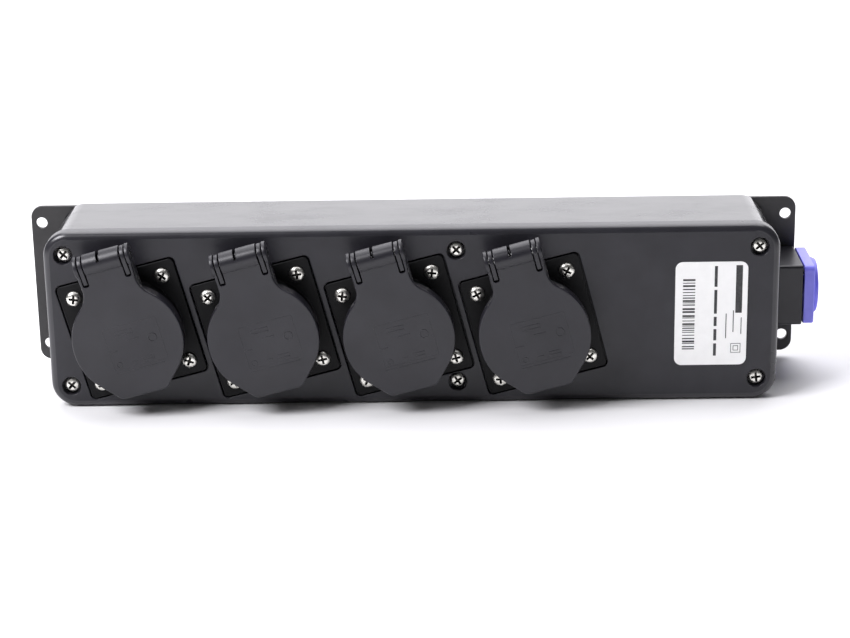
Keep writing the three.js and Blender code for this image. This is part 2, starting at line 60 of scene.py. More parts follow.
SMOOTH_ANGLE = radians(32)  # edges sharper than this stay sharp
BEVEL_ANGLE = radians(25)  # edges sharper than this are broken
MERGE_DISTANCE = 1e-7  # metres
NUMBERS = (1, 2, 3, 4)  # the sockets, from the left

# ---- Driving dimensions, from the frame where it holds them ----
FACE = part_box("front_cover")[0].y  # the cover's front face


def extent(node):
    """A node's sizes, its middle, and its depths behind the cover's face, in millimetres."""
    low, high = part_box(node)
    middle = (low + high) / 2 / MM
    return {"width": (high.x - low.x) / MM, "height": (high.z - low.z) / MM, "spot": (middle.x, middle.z),
            "front": (low.y - FACE) / MM, "back": (high.y - FACE) / MM}


COVER = {**extent("front_cover"), "radius": 10.5, "edge": 2.8, "back": 7.4,
         "plug_inset": 6.3, "plug_radius": 5.2, "plug_back": 9.4}
HOUSING = {**extent("rear_housing"), "radius": 8.4, "wall": 3.8, "inner_radius": 5}
PLATE = {**extent("mounting_plate"), "radius": 5}
GASKET = {**extent("cover_gasket"), "strip": 3.2, "radius": HOUSING["radius"] - 0.5}
LABEL = {**extent("rating_label"), "radius": 3, "edge": 0.08}
PLATE_HOLE = {"radius": 2.4, "x": 159.8, "z": 27.3}
SCREW_POCKET = {"radius": 3.9, "depth": 3.2, "bore": 2}
POST = {"radius": 4.6, "front": 9.7, "back": HOUSING["back"] - 1, "bore_end": 34}
PLATE_SCREW = {"radius": 3, "x": 128, "z": 22, "turn": 25}
FOOT_RIM = {"width": HOUSING["width"] + 3, "height": HOUSING["height"] - 1.4, "radius": 10, "thick": 1.2}

FLANGE = {"side": 50, "radius": 1.9, "front": -0.4, "back": 1.9}
FLANGE_BORE = {"radius": 2.1, "x": 19, "z": 19}
RECESS = {"side": 51.1, "radius": 2.4, "depth": 3.2, "bore": 22.5}
COLLAR = {"radius": 21, "front": -11, "fillet": 0.6, "steps": 4}
WELL = {"radius": 19.6, "floor": 6.5, "edge": 0.8}
REAR = {"radius": 22, "back": 22}
PIN_HOLE = {"x": 9.5, "radius": 3, "edge": 0.7}
EARTH_SLOT = {"z": 17.9, "width": 5.6, "height": 1.8}
GUIDE = {"reach": 1.6, "root": 0.6, "half": 2.4, "front": -9}

HINGE = {"depth": -11.6, "z": 33.8, "barrel": 4.8, "ear": 4.5, "bore": 1.8, "pin": 1.35}
BARREL = {"half": 7.7, "cavity_half": 4.6, "cavity": 3.7}
EAR = {"inner": 8.15, "outer": 9.85, "back": 24}
EAR_POST = {"low": 17, "low_front": -8.4, "step": 21.6, "step_front": -12.5, "tip": 26.6, "tip_front": -14.9}
CHEEK = {"inner": 10.2, "outer": 11.7}
LID = {"front": -15.2, "inside": -13, "skirt": -9, "radius": 22.7, "drop": 0.9, "wall": 1.2, "edge": 0.6}
THUMB_EDGE = {"x": 8, "low": 23.9, "radius": 3.5}
NECK = {"half": 11.2, "fillet": 10, "wall_low": 19.2, "wall_high": 31.6}
LID_SLOT = {"inner": 7.75, "outer": 10.15, "low": 25.9}
NOTCH = {"start": -1.7, "end": -0.4, "back": 2.4, "low": 1.2}
SEAL = {"inner": 17.6, "outer": 20.4, "front": -12.7, "back": -11.3}
SPRING = {"radius": 2.65, "wire": 0.375, "turns": 4, "steps": 24, "half": 3.4}

INLET = {"depth": 37.7, "block_start": 149.3, "block_end": 163.6, "block_front": 22.4,
         "block_back": 53, "block_half": 13, "block_radius": 1.2}
INLET_FLANGE = {"start": 164.2, "end": 168.6, "height": 25.4, "depth": 30.4, "radius": 2.2}
INLET_COLLAR = {"radius": 12, "step": 0.5, "end": 170.9, "mouth": 10.3, "floor": 146}
INLET_REAR = {"radius": 11, "start": 136, "wire": 6.5, "bore": 11.4}
INLET_RIB = {"near": 9.6, "far": 10.6, "half": 0.9, "start": 153, "edge": 0.2, "turns": (35, 155, 275)}
INSERT = {"radius": 4.6, "flute": 0.8, "end": 168, "base": 9.9, "base_start": 146.3, "base_end": 149.5}
INLET_CONTACT = {"near": 3.6, "far": 4.35, "half": 0.5, "edge": 0.15, "turns": (30, 150, 270)}
INLET_BOLT = {"depth": 11.7, "z": 9.3, "bore": 1.6, "pocket_radius": 2.75, "pocket": 1.8}


# ---- Placements ----
def placement(origin, x_axis, depth_axis, z_axis):
    """Millimetres along three directions, from a point of the frame in metres."""
    columns = Matrix((x_axis, depth_axis, z_axis)).transposed() * MM
    return Matrix.Translation(origin) @ columns.to_4x4()


ON_COVER = placement((0, FACE, 0), (1, 0, 0), (0, 1, 0), (0, 0, 1))


def socket_placement(number):
    joint = next(j for j in frame["joints"] if j["name"] == f"lid_hinge_{number}")
    across = -Vector(joint["axis"])
    up = across.cross(Vector((0, 1, 0)))
    centre = Vector(joint["pos_m"]) - up * HINGE["z"] * MM
    return placement((centre.x, FACE, centre.z), across, (0, 1, 0), up)


# ---- Outlines: functions of an inset, in millimetres ----
def arc(centre, radius, start, end, steps):
    """Points on an arc, angles in degrees, both ends included."""
    angles = [radians(start + (end - start) * i / steps) for i in range(steps + 1)]
    return [(centre[0] + radius * cos(a), centre[1] + radius * sin(a)) for a in angles]


def rounded_rect(width, height, radius, centre=(0, 0), steps=8):
    def outline(inset=0.0):
        turn = max(radius - inset, 0.02)
        x, z = width / 2 - inset - turn, height / 2 - inset - turn
        points = []
        for quarter, (sx, sz) in enumerate(((1, 1), (-1, 1), (-1, -1), (1, -1))):
            corner = (centre[0] + sx * x, centre[1] + sz * z)
            points += arc(corner, turn, 90 * quarter, 90 * quarter + 90, steps)
        return points
    return outline


def rim_of(part, inset=0, radius=None, steps=12):
    """A part's outline, or one drawn in by an inset with corners of its own."""
    width, height = part["width"] - 2 * inset, part["height"] - 2 * inset
    return rounded_rect(width, height, radius or part["radius"], steps=steps)


def circle(radius, centre=(0, 0), count=48):
    def outline(inset=0.0):
        return arc(centre, radius - inset, 0, 360, count)[:-1]
    return outline


def corner_spots(part):
    x, z = part["x"], part["z"]
    return [(-x, z), (x, z), (x, -z), (-x, -z)]


def corner_holes(part, count):
    return [circle(part["radius"], spot, count) for spot in corner_spots(part)]


# ---- Mesh building ----
class Solid:
    """Points and faces of one closed mesh. Its levels run along depth, or along x."""

    def __init__(self, along="depth"):
        self.points, self.faces = [], []
        self.along = along

    def ring(self, outline, level):
        start = len(self.points)
        for u, v in outline:
            self.points.append((u, level, v) if self.along == "depth" else (level, u, v))
        return list(range(start, len(self.points)))

    def bridge(self, one, two):
        for i, corner in enumerate(one):
            j = (i + 1) % len(one)
            self.faces.append((corner, one[j], two[j], two[i]))

    def loft(self, sections):
        """Walls through (outline, level) sections; returns the first and the last ring."""
        rings = [self.ring(outline, level) for outline, level in sections]
        for one, two in zip(rings, rings[1:]):
            self.bridge(one, two)
        return rings[0], rings[-1]

    def fill(self, *rings):
        """A flat face inside the first ring, with the other rings as holes."""
        loops = [[Vector(self.points[i]) for i in ring] for ring in rings]
        flat = [i for ring in rings for i in ring]
        self.faces += [tuple(flat[i] for i in triangle) for triangle in tessellate_polygon(loops)]

    def rod(self, sections):
        first, last = self.loft(sections)
        self.fill(first)
        self.fill(last)
        return self

    def plate(self, outline, front, back, edge=0.3, back_edge=0.0, holes=(), hole_edge=0.2):
        """A slab with rounded edges and through holes."""
        first, last = self.loft(side(outline, front, back, edge, back_edge))
        hole_back = back_edge and hole_edge
        bores = [self.loft(side(hole, front, back, hole_edge, hole_back, True)) for hole in holes]
        self.fill(first, *[bore[0] for bore in bores])
        self.fill(last, *[bore[1] for bore in bores])
        return self

    def add(self, other):
        start = len(self.points)
        self.points += other.points
        self.faces += [tuple(start + i for i in face) for face in other.faces]

    def add_bmesh(self, bm):
        start = len(self.points)
        bm.verts.index_update()
        self.points += [tuple(v.co) for v in bm.verts]
        self.faces += [tuple(start + v.index for v in face.verts) for face in bm.faces]
        bm.free()
        return self


def side(outline, front, back, front_edge=0.0, back_edge=0.0, hole=False):
    """Sections of a wall between two levels, with a rounded edge at each end."""
    def turn(level, way, radius):
        steps = EDGE_STEPS if radius else 0
        made = []
        for i in range(steps + 1):
            angle = pi / 2 * (i / steps if steps else 1)
            inset = radius * (1 - sin(angle))
            rise = radius * (1 - cos(angle))
            made.append((outline(-inset if hole else inset), level + way * rise))
        return made
    return turn(front, 1, front_edge) + turn(back, -1, back_edge)[::-1]


def prism(points, start, end, bevel):
    """An outline of (depth, z) drawn out along x, with its edges broken."""
    bm = bmesh.new()
    caps = [[bm.verts.new((level, u, v)) for u, v in points] for level in (start, end)]
    bm.faces.new(caps[0])
    bm.faces.new(caps[1][::-1])
    for i in range(len(points)):
        j = (i + 1) % len(points)
        bm.faces.new((caps[0][j], caps[0][i], caps[1][i], caps[1][j]))
    bmesh.ops.recalc_face_normals(bm, faces=bm.faces)
    if bevel:
        edges = [e for e in bm.edges if e.calc_face_angle(0) > BEVEL_ANGLE]
        bmesh.ops.bevel(bm, geom=edges, offset=bevel, segments=2, profile=0.5, affect="EDGES")
    return bm


def block(x, depth, z, bevel):
    """A box between two limits along each axis, with its edges broken."""
    (d0, d1), (z0, z1) = depth, z
    return prism([(d0, z0), (d1, z0), (d1, z1), (d0, z1)], x[0], x[1], bevel)


def ranged(way, near, far):
    """Two limits on one side of the middle, in rising order."""
    return sorted((way * near, way * far))


def finish_mesh(mesh):
    bm = bmesh.new()
    bm.from_mesh(mesh)
    bmesh.ops.remove_doubles(bm, verts=bm.verts, dist=MERGE_DISTANCE)
    bmesh.ops.recalc_face_normals(bm, faces=bm.faces)
    bm.to_mesh(mesh)
    bm.free()
    mesh.polygons.foreach_set("use_smooth", [True] * len(mesh.polygons))
    mesh.set_sharp_from_angle(angle=SMOOTH_ANGLE)


def linked(name, data):
    made = bpy.data.objects.new(name, data)
    bpy.context.scene.collection.objects.link(made)
    return made


def object_of(name, points, faces):
    mesh = bpy.data.meshes.new(name)
    mesh.from_pydata(points, [], faces)
    finish_mesh(mesh)
    return linked(name, mesh)


def piece(name, solid, material, replaces=(), place=ON_COVER, body="enclosure"):
    """Makes one finished object from a solid, attaches it to its body and hides the frame's parts that it
    replaces.
    """
    made = object_of(name, [place @ Vector(point) for point in solid.points], solid.faces)
    made.data.materials.append(MATERIALS[material])
    weighted = made.modifiers.new("even_shading", "WEIGHTED_NORMAL")
    weighted.keep_sharp = True
    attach(made, body)
    if replaces:
        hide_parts(*replaces)
    return made


def second_material(made, material, chosen):
    """Gives a piece's chosen faces another material."""
    made.data.materials.append(MATERIALS[material])
    for face in made.data.polygons:
        if chosen(face.center):
            face.material_index = 1


# ---- Materials ----
class Nodes:
    """A node-based material on object coordinates, so that its pattern stays on its piece."""

    def __init__(self, name, **sockets):
        self.material = bpy.data.materials.new(name)
        self.material.use_nodes = True
        self.tree = self.material.node_tree
        self.shader = self.tree.nodes["Principled BSDF"]
        for socket, value in sockets.items():
            self.shader.inputs[socket.replace("_", " ")].default_value = value
        self.where = self.tree.nodes.new("ShaderNodeTexCoord").outputs["Object"]

    def node(self, kind, inputs=None, **settings):
        made = self.tree.nodes.new(kind)
        for name, value in settings.items():
            setattr(made, name, value)
        for name, value in (inputs or {}).items():
            if isinstance(value, bpy.types.NodeSocket):
                self.tree.links.new(value, made.inputs[name])
            else:
                made.inputs[name].default_value = value
        return made

    def stretched(self, scale):
        return self.node("ShaderNodeMapping", {"Vector": self.where, "Scale": scale}).outputs["Vector"]

    def noise(self, scale, detail=3.0, rough=0.5, vector=None):
        inputs = {"Vector": vector or self.where, "Scale": scale, "Detail": detail, "Roughness": rough}
        return self.node("ShaderNodeTexNoise", inputs).outputs["Fac"]

    def between(self, value, low, high, start=0.3, stop=0.7):
        inputs = {"Value": value, "From Min": start, "From Max": stop, "To Min": low, "To Max": high}
        return self.node("ShaderNodeMapRange", inputs).outputs["Result"]

    def colours(self, value, *stops):
        ramp = self.node("ShaderNodeValToRGB", {"Fac": value})
        elements = ramp.color_ramp.elements
        while len(elements) < len(stops):
            elements.new(0.5)
        for element, (position, colour) in zip(elements, stops):
            element.position = position
            element.color = (*colour, 1)
        return ramp.outputs["Color"]

    def bump(self, height, strength, distance, under=None):
        inputs = {"Height": height, "Strength": strength, "Distance": distance}
        if under:
            inputs["Normal"] = under
        return self.node("ShaderNodeBump", inputs).outputs["Normal"]

    def drive(self, socket, value):
        self.tree.links.new(value, self.shader.inputs[socket])

    def mottle(self, scale, detail, dark, light):
        """Colour that drifts between two (position, colour) stops of a noise."""
        self.drive("Base Color", self.colours(self.noise(scale, detail), dark, light))

    def gloss(self, scale, detail, low, high):
        self.drive("Roughness", self.between(self.noise(scale, detail), low, high))

    def relief(self, height, strength, distance, under=None):
        self.drive("Normal", self.bump(height, strength, distance, under))


def shade(colour, factor):
    return tuple(min(1.0, c * factor) for c in colour)


def moulded_plastic(name, colour, roughness, grain=0.25, spread=0.06, **sockets):
    """Moulded plastic: a fine grain, soft blotches in its gloss and a slight change of colour."""
    nodes = Nodes(name, **sockets)
    nodes.mottle(90, 3, (0.35, shade(colour, 0.88)), (0.68, shade(colour, 1.14)))
    nodes.gloss(38, 4, roughness - spread, roughness + spread)
    nodes.relief(nodes.noise(2600, 2, 0.6), grain, 0.00006)
    return nodes.material


def glossy_housing(name):
    """Smooth deep black plastic with faint smears and dust in its gloss."""
    nodes = Nodes(name, Specular_IOR_Level=0.62, Coat_Weight=0.5, Coat_Roughness=0.06)
    nodes.mottle(900, 2, (0.55, (0.012, 0.012, 0.014)), (0.78, (0.03, 0.03, 0.032)))
    smear = nodes.noise(26, 5, 0.6, nodes.stretched((1, 2.2, 1)))
    nodes.drive("Roughness", nodes.between(smear, 0.13, 0.34, 0.35, 0.7))
    nodes.relief(nodes.noise(60, 3), 0.06, 0.0004)
    return nodes.material


def powder_coat(name):
    """Satin powder coat with its orange-peel skin."""
    nodes = Nodes(name)
    nodes.mottle(55, 4, (0.3, (0.026, 0.025, 0.026)), (0.7, (0.037, 0.036, 0.037)))
    nodes.gloss(300, 3, 0.42, 0.56)
    peel = nodes.bump(nodes.noise(1100, 2), 0.3, 0.00012)
    nodes.relief(nodes.noise(4200, 1), 0.15, 0.00003, peel)
    return nodes.material


def metal(name, colour, roughness, scratch=0.12):
    """Plated metal with fine drawn marks and dulled patches."""
    nodes = Nodes(name, Metallic=1.0)
    nodes.mottle(700, 4, (0.3, shade(colour, 0.8)), (0.7, shade(colour, 1.1)))
    nodes.gloss(500, 3, roughness - 0.07, roughness + 0.1)
    nodes.relief(nodes.noise(1500, 3, 0.6, nodes.stretched((1, 8, 1))), scratch, 0.00005)
    return nodes.material


def rubber(name):
    nodes = Nodes(name)
    nodes.mottle(200, 3, (0.3, (0.007, 0.007, 0.007)), (0.7, (0.016, 0.016, 0.016)))
    nodes.gloss(400, 3, 0.68, 0.85)
    nodes.relief(nodes.noise(3200, 2), 0.3, 0.00006)
    return nodes.material


def paper_film(name):
    """White printed film with a faint weave of fibres and a soft sheen."""
    nodes = Nodes(name)
    nodes.mottle(260, 4, (0.3, (0.93, 0.93, 0.92)), (0.7, (0.97, 0.97, 0.96)))
    nodes.gloss(160, 3, 0.38, 0.5)
    nodes.relief(nodes.noise(1800, 3), 0.12, 0.00004)
    return nodes.material


def ink(name):
    nodes = Nodes(name)
    nodes.mottle(1500, 2, (0.3, (0.02, 0.02, 0.022)), (0.75, (0.05, 0.05, 0.052)))
    nodes.gloss(800, 2, 0.4, 0.55)
    return nodes.material


COVER_BLACK = (0.019, 0.0185, 0.0235)
MATERIALS = {
    "cover": moulded_plastic("black_grained_plastic", COVER_BLACK, 0.36, 0.34, Specular_IOR_Level=0.4),
    "cover_rim": moulded_plastic("black_smooth_plastic", COVER_BLACK, 0.3, 0.1, 0.04,
                                 Coat_Weight=0.3, Coat_Roughness=0.3),
    "housing": glossy_housing("black_gloss_plastic"),
    "plate": powder_coat("black_powder_coat"),
    "lid": moulded_plastic("dark_grey_lid_plastic", (0.012, 0.0115, 0.016), 0.36, 0.2),
    "socket": moulded_plastic("black_socket_plastic", (0.003, 0.003, 0.0036), 0.5, 0.2,
                              Specular_IOR_Level=0.2),
    "inlet": moulded_plastic("blue_violet_plastic", (0.235, 0.225, 1.0), 0.22, 0.1),
    "rubber": rubber("black_rubber"),
    "nickel": metal("bright_nickel", (0.92, 0.90, 0.84), 0.3),
    # Dark nickel that paints the shade inside the screws' cross recesses.
    "recess": metal("nickel_painted_recess_shade", (0.06, 0.055, 0.05), 0.5),
    "steel": metal("spring_steel", (0.5, 0.5, 0.5), 0.3),
    # Darkened spring steel: painted shade where the coil shows through the hinge notch.
    "spring": metal("spring_steel_painted_notch_shade", (0.05, 0.05, 0.054), 0.4),
    "brass": metal("contact_brass", (0.78, 0.58, 0.27), 0.28),
    "film": paper_film("white_label_film"),
    "ink": ink("label_ink"),
}


# ---- Screws ----
DOME_STEPS = 8
HEAD_SUNK = 0.05  # how far a head stands off its seat
THREAD = {"pitch": 0.9, "core": 0.8}  # the core is a share of the outer radius


def dome(head_radius, head, bore):
    """Sections of a pan head from its crown, over its rounded shoulder, down to the shank."""
    crown, edge = head_radius * 0.4, head * 0.22
    sections = [(0.12 * head_radius, -head), (crown, -head)]
    for i in range(1, DOME_STEPS + 1):
        angle = pi / 2 * i / DOME_STEPS
        radius = crown + (head_radius - crown) * sin(angle)
        sections.append((radius, -edge - (head - edge) * cos(angle)))
    sections += [(head_radius, -edge * 0.4), (head_radius * 0.97, 0), (bore, 0)]
    return sections


def threaded(radius, length):
    """Sections of a shank with ridges, and a blunt tip."""
    core, level = radius * THREAD["core"], 0.9
    sections = [(core, 0.3)]
    while level < length - 1.5:
        sections += [(radius, level), (core, level + THREAD["pitch"] / 2)]
        level += THREAD["pitch"]
    return sections + [(core, length - 0.8), (radius * 0.45, length)]


def plus(half, width):
    """Outline of a cross with arms of one width."""
    points = []
    for quarter in range(4):
        turn = quarter * pi / 2
        for u, v in ((half, -width), (half, width), (width, width)):
            points.append((u * cos(turn) - v * sin(turn), u * sin(turn) + v * cos(turn)))
    return points


def carved(name, solid, cutter):
    """The solid with the cutter's shape taken out of it, as a new solid."""
    body = object_of(name, solid.points, solid.faces)
    tool = object_of(name + "_tool", cutter.points, cutter.faces)
    cut = body.modifiers.new("cut", "BOOLEAN")
    cut.object, cut.operation, cut.solver = tool, "DIFFERENCE", "EXACT"
    left = body.evaluated_get(bpy.context.evaluated_depsgraph_get()).to_mesh()
    result = Solid()
    result.points = [tuple(v.co) for v in left.vertices]
    result.faces = [tuple(face.vertices) for face in left.polygons]
    for used in (body, tool):
        bpy.data.objects.remove(used)
    return result


def turned(sections):
    """A round body through (radius, level) sections."""
    return Solid().rod([(circle(radius, count=28)(), level) for radius, level in sections])


def pan_head_screw(head_radius, head, shank, length):
    """A pan head screw with a cross recess, drawn with its head's underside at level 0.

    With the solid comes where the recess lies: its reach, its rim's level and its floor's.
    """
    body = turned(dome(head_radius, head, shank * THREAD["core"]) + threaded(shank, length))
    arm, width = head_radius * 0.6, head_radius * 0.15
    recess = Solid().rod([(plus(arm * 1.05, width * 1.1), -head - 0.5), (plus(arm, width), -head * 0.95),
                          (plus(arm * 0.55, width * 0.75), -head * 0.12)])
    return carved("screw", body, recess), (arm * 1.06, -head * 0.9, 0)


def countersunk_screw(head_radius, head, shank, length):
    """A countersunk screw with a cross recess, drawn with its head's flat face near level 0."""
    sections = [(head_radius * 0.3, 0.04), (head_radius - 0.1, 0.04), (head_radius, 0.14),
                (head_radius, 0.3), (shank, head)]
    body = turned(sections + [(radius, level + head) for radius, level in threaded(shank, length)])
    arm, width = head_radius * 0.6, head_radius * 0.14
    recess = Solid().rod([(plus(arm, width * 1.1), -0.5), (plus(arm * 0.5, width * 0.7), head * 0.9)])
    return carved("screw", body, recess), (arm * 1.06, 0.06, head)


SCREWS = {
    "cover": pan_head_screw(3.3, 2.1, 1.6, 24),
    "flange": pan_head_screw(3.2, 2.0, 1.6, 9),
    "inlet": pan_head_screw(2.6, 1.5, 1.3, 10),
    "back": countersunk_screw(PLATE_SCREW["radius"] - 0.05, PLATE["back"] - PLATE["front"], 1.5, 9),
}


def put_screw(name, kind, place, spot, level, turn, replaces=()):
    """A screw at a spot of the given placement, turned about its own axis, in degrees."""
    there = place @ Matrix.Translation((spot[0], level, spot[1])) @ Matrix.Rotation(radians(turn), 4, "Y")
    solid, (reach, rim, recess_floor) = SCREWS[kind]
    made = piece(name, solid, "nickel", replaces, there)
    back = there.inverted()

    def in_recess(point):
        spot = back @ point
        return hypot(spot.x, spot.z) < reach and rim < spot.y < recess_floor

    # The faces inside the cross recess take the dark nickel, as painted shade.
    second_material(made, "recess", in_recess)


# ---- Enclosure ----
COVER_SCREW_SPOTS = [extent(f"cover_screw_{i}")["spot"] for i in range(1, 7)]


def socket_spot(number, x, z):
    """A point of a socket's own x and z, as x and z on the cover."""
    there = socket_placement(number) @ Vector((x, 0, z))
    return there.x / MM, there.z / MM


def turned_outline(number, outline):
    """A socket's outline, turned and moved onto the cover."""
    return lambda inset=0.0: [socket_spot(number, u, v) for u, v in outline(inset)]


def socket_openings():
    """The openings behind a socket, for its body and for its four screws."""
    return [circle(RECESS["bore"], count=64)] + corner_holes(FLANGE_BORE, 16)


def on_cover_rim(point):
    """True for a point on the cover's rounded rim, which is smoother than its grained face."""
    x, z = abs(point.x) / MM - COVER["width"] / 2, abs(point.z) / MM - COVER["height"] / 2
    if max(x, z) > -COVER["edge"]:
        return True
    x, z = x + COVER["radius"], z + COVER["radius"]
    return x > 0 and z > 0 and hypot(x, z) > COVER["radius"] - COVER["edge"]


def front_cover():
    cover = Solid()
    plug = rim_of(COVER, COVER["plug_inset"], COVER["plug_radius"])
    sections = side(rim_of(COVER), 0, COVER["back"], COVER["edge"], SOFT)
    face, back = cover.loft(sections + side(plug, COVER["back"], COVER["plug_back"], 0, SOFT))
    face_holes, back_holes = [], []
    for number in NUMBERS:
        square = turned_outline(number, rounded_rect(RECESS["side"], RECESS["side"], RECESS["radius"]))
        top, floor = cover.loft(side(square, 0, RECESS["depth"], LIP, 0, True))
        bores = [turned_outline(number, bore)() for bore in socket_openings()]
        ends = [cover.loft([(bore, RECESS["depth"]), (bore, COVER["plug_back"])]) for bore in bores]
        cover.fill(floor, *[end[0] for end in ends])
        face_holes.append(top)
        back_holes += [end[1] for end in ends]
    for spot in COVER_SCREW_SPOTS:
        pocket = circle(SCREW_POCKET["radius"], spot, 32)
        top, floor = cover.loft(side(pocket, 0, SCREW_POCKET["depth"], SOFT, 0, True))
        bore = circle(SCREW_POCKET["bore"], spot, 16)
        first, last = cover.loft([(bore(), SCREW_POCKET["depth"]), (bore(), COVER["plug_back"])])
        cover.fill(floor, first)
        face_holes.append(top)
        back_holes.append(last)
    cover.fill(face, *face_holes)
    cover.fill(back, *back_holes)
    made = piece("cover_panel", cover, "cover", ["front_cover"])
    second_material(made, "cover_rim", on_cover_rim)


def rear_housing():
    """The tub, with a post for each of the cover's screws."""
    tub = Solid()
    wall, foot = HOUSING["wall"], HOUSING["back"]
    inner = rim_of(HOUSING, wall, HOUSING["inner_radius"])
    outside = tub.loft(side(rim_of(HOUSING), HOUSING["front"], foot, FULL, 0))
    inside = tub.loft(side(inner, HOUSING["front"], foot - wall, SOFT, 0, True))
    tub.fill(outside[0], inside[0])
    tub.fill(outside[1])
    tub.fill(inside[1])
    for spot in COVER_SCREW_SPOTS:
        post, bore = circle(POST["radius"], spot, 24), circle(SCREW_POCKET["bore"], spot, 16)
        front = POST["front"]
        post_ends = tub.loft([(post(SOFT), front), (post(), front + SOFT), (post(), POST["back"])])
        bore_ends = tub.loft([(bore(), front), (bore(), POST["bore_end"])])
        tub.fill(post_ends[0], bore_ends[0])
        tub.fill(post_ends[1])
        tub.fill(bore_ends[1])
    piece("housing_tub", tub, "housing", ["rear_housing"])


def housing_foot():
    """A thin rim round the foot of the tub, a little longer than the tub but no higher."""
    back = HOUSING["back"]
    rim = Solid().plate(rim_of(FOOT_RIM), back - FOOT_RIM["thick"], back, FULL, 0)
    piece("housing_foot_rim", rim, "housing")


def mounting_plate():
    holes = corner_holes(PLATE_HOLE, 40) + corner_holes(PLATE_SCREW, 40)
    plate = Solid().plate(rim_of(PLATE), PLATE["front"], PLATE["back"], FULL, FULL, holes, LIP)
    piece("back_plate", plate, "plate", ["mounting_plate"])
    facing_back = placement((0, FACE, 0), (-1, 0, 0), (0, -1, 0), (0, 0, 1))
    for i, (x, z) in enumerate(corner_spots(PLATE_SCREW), 1):
        turn = PLATE_SCREW["turn"] * i
        put_screw(f"plate_fastener_{i}", "back", facing_back, (-x, z), -PLATE["back"], turn)


def cover_gasket():
    outline, inside = rim_of(GASKET, steps=8), rim_of(GASKET, GASKET["strip"], HOUSING["inner_radius"], 8)
    gasket = Solid().plate(outline, GASKET["front"], GASKET["back"], SMALL, SMALL, [inside], SMALL)
    piece("cover_seal_strip", gasket, "rubber", ["cover_gasket"])


# ---- Label: plain bars and blocks, with no lettering ----
INK = {"thick": 0.03, "sunk": 0.1, "corner": 0.12}
BARS = {"x": -0.31, "width": 0.17, "low": -0.34, "high": 0.35,
        "sizes": (0.35, 0.5, 0.8), "gaps": (0.45, 0.6, 0.95)}  # a column of bars of mixed sizes
# Upright strokes: where across the label, their width in millimetres, and where they start and end.
# All but the widths are shares of the label's width or height, from its middle.
STROKES = [(0.06, 1.2, start, end) for start, end in
           ((-0.41, -0.29), (-0.26, -0.15), (-0.12, -0.03), (0.0, 0.23), (0.26, 0.46))]
STROKES += [(0.38, 2.7, 0.006, 0.466)]
STROKES += [(0.21, 0.35, -0.24, 0.0), (0.31, 0.35, -0.18, 0.03), (0.42, 0.35, -0.2, -0.04)]
SQUARES = {"x": 0.35, "z": -0.336, "largest": 4.6, "step": 0.02,
           "sizes": ((4.1, "ink"), (3.6, "film"), (2.2, "ink"), (1.7, "film"))}  # a square in a square


def ink_bar(x, z, width, height, level):
    outline = rounded_rect(width, height, min(INK["corner"], min(width, height) * 0.2), (x, z), 2)
    return Solid().plate(outline, level - INK["thick"], level + INK["sunk"], 0)


def label():
    width, height, front, (x, z) = LABEL["width"], LABEL["height"], LABEL["front"], LABEL["spot"]
    outline = rounded_rect(width, height, LABEL["radius"], (x, z))
    film = Solid().plate(outline, front, LABEL["back"], LABEL["edge"])
    piece("label_film_sheet", film, "film", ["rating_label"])
    marks = Solid()
    dice = random.Random(7)
    level = height * BARS["low"]
    while level < height * BARS["high"]:
        tall = dice.choice(BARS["sizes"])
        marks.add(ink_bar(x + width * BARS["x"], z + level, width * BARS["width"], tall, front))
        level += tall + dice.choice(BARS["gaps"])
    for column, thick, start, end in STROKES:
        middle = z + height * (start + end) / 2
        marks.add(ink_bar(x + width * column, middle, thick, height * (end - start), front))
    for size, colour in SQUARES["sizes"]:
        level = front - SQUARES["step"] * (SQUARES["largest"] - size)
        square = ink_bar(x + width * SQUARES["x"], z + height * SQUARES["z"], size, size, level)
        if colour == "ink":
            marks.add(square)
        else:
            piece(f"label_square_{int(size * 10)}", square, "film")
    piece("label_print", marks, "ink")


# ---- Sockets ----
def tangent_angle(point, radius, way):
    """The angle, about the hinge, where a line from a point touches a circle."""
    depth, z = point[0] - HINGE["depth"], point[1] - HINGE["z"]
    return atan2(z, depth) + way * acos(radius / hypot(depth, z))


def ear_outline():
    """A post that steps round the lid's skirt, up to a round eye in the lid's slot, as (depth, z)."""
    foot, low, step, tip = FLANGE["back"] - 1, EAR_POST["low"], EAR_POST["step"], EAR_POST["tip"]
    step_front, tip_front = EAR_POST["step_front"], EAR_POST["tip_front"]
    start = tangent_angle((foot, EAR["back"]), HINGE["ear"], 1)
    end = tangent_angle((tip_front, tip), HINGE["ear"], -1) + 2 * pi
    eye = arc((HINGE["depth"], HINGE["z"]), HINGE["ear"], degrees(start), degrees(end), 28)
    post = [(tip_front, tip), (step_front, tip), (step_front, step), (EAR_POST["low_front"], step)]
    return post + [(EAR_POST["low_front"], low), (foot, low), (foot, EAR["back"])] + eye


def collar_fillet(collar):
    """Sections of the hollow curve where the collar meets the flange."""
    radius, steps = COLLAR["fillet"], COLLAR["steps"]
    angles = [pi / 2 * i / steps for i in range(steps, -1, -1)]
    return [(collar(-radius * (1 - sin(a))), FLANGE["front"] - radius * (1 - cos(a))) for a in angles]


def well_floor_holes():
    """The well's two pin holes and its two earth slots, with the edge each of them has."""
    width, height, z = EARTH_SLOT["width"], EARTH_SLOT["height"], EARTH_SLOT["z"]
    holes = [(circle(PIN_HOLE["radius"], (way * PIN_HOLE["x"], 0), 32), PIN_HOLE["edge"]) for way in (-1, 1)]
    return holes + [(rounded_rect(width, height, FULL, (0, way * z), 3), 0) for way in (-1, 1)]


